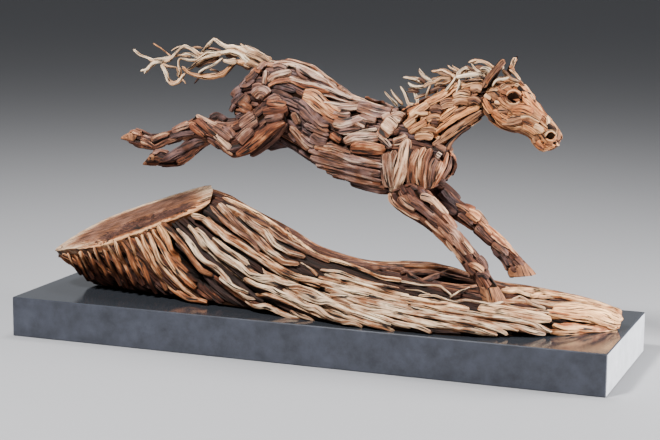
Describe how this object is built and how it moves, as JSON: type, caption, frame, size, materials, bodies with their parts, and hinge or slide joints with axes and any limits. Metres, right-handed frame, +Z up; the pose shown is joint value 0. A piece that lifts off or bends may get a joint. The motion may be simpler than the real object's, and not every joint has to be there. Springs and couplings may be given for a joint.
{
  "type": "driftwood horse sculpture",
  "caption": "Galloping horse built up from driftwood pieces, one fore hoof on a long weathered root that lies on a polished dark granite plinth.",
  "frame": {"origin": "middle of the plinth's underside", "axes": "+X along the plinth towards the horse's nose, +Y to the horse's left, +Z up"},
  "size_m": [1.356, 0.414, 0.6735],
  "materials": {
    "granite": "polished top, honed sides, dark grey with a fine mottle",
    "root_wood": "weathered, deeply grooved, tan to ochre ridges",
    "tan_driftwood": "worn smooth, oiled, tan",
    "umber_driftwood": "weathered grey-brown with dark joints",
    "russet_driftwood": "weathered red-brown",
    "straw_twigs": "bare pale twigs",
    "hoof_wood": "dark worn wood"
  },
  "bodies": {
    "root": {"barrel": "umber_driftwood", "driftwood_root": "root_wood", "head": "tan_driftwood", "left_arm_strip": "tan_driftwood", "left_belly_strip_middle": "umber_driftwood", "left_belly_strip_upper": "umber_driftwood", "left_croup_strip": "umber_driftwood", "left_ear": "russet_driftwood", "left_fore_cannon": "russet_driftwood", "left_fore_hoof": "hoof_wood", "left_forearm": "russet_driftwood", "left_gaskin": "russet_driftwood", "left_hind_cannon": "russet_driftwood", "left_hind_hoof": "hoof_wood", "left_hip_plate": "tan_driftwood", "left_loin_slab": "tan_driftwood", "left_rib_plate": "tan_driftwood", "left_rump_knob": "umber_driftwood", "left_shoulder_blade": "umber_driftwood", "left_shoulder_muscle": "tan_driftwood", "left_thigh": "russet_driftwood", "left_withers_plate": "tan_driftwood", "mane": "straw_twigs", "neck": "tan_driftwood", "plinth": "granite", "right_arm_strip": "tan_driftwood", "right_belly_strip_lower": "umber_driftwood", "right_belly_strip_middle": "umber_driftwood", "right_belly_strip_upper": "umber_driftwood", "right_buttock_piece": "umber_driftwood", "right_croup_strip": "umber_driftwood", "right_ear": "russet_driftwood", "right_flank_twist": "umber_driftwood", "right_fore_cannon": "russet_driftwood", "right_fore_hoof": "hoof_wood", "right_forearm": "russet_driftwood", "right_gaskin": "russet_driftwood", "right_gaskin_bar": "umber_driftwood", "right_hind_cannon": "russet_driftwood", "right_hind_hoof": "hoof_wood", "right_hip_arch": "umber_driftwood", "right_hip_plate": "tan_driftwood", "right_loin_slab": "tan_driftwood", "right_rib_plate": "tan_driftwood", "right_rump_knob": "umber_driftwood", "right_shoulder_blade": "umber_driftwood", "right_shoulder_muscle": "tan_driftwood", "right_thigh": "russet_driftwood", "right_thigh_plate": "tan_driftwood", "right_throat_strip": "tan_driftwood", "right_withers_knot": "umber_driftwood", "right_withers_plate": "tan_driftwood", "spine_strip": "umber_driftwood", "tail": "straw_twigs"}
  },
  "joints": []
}
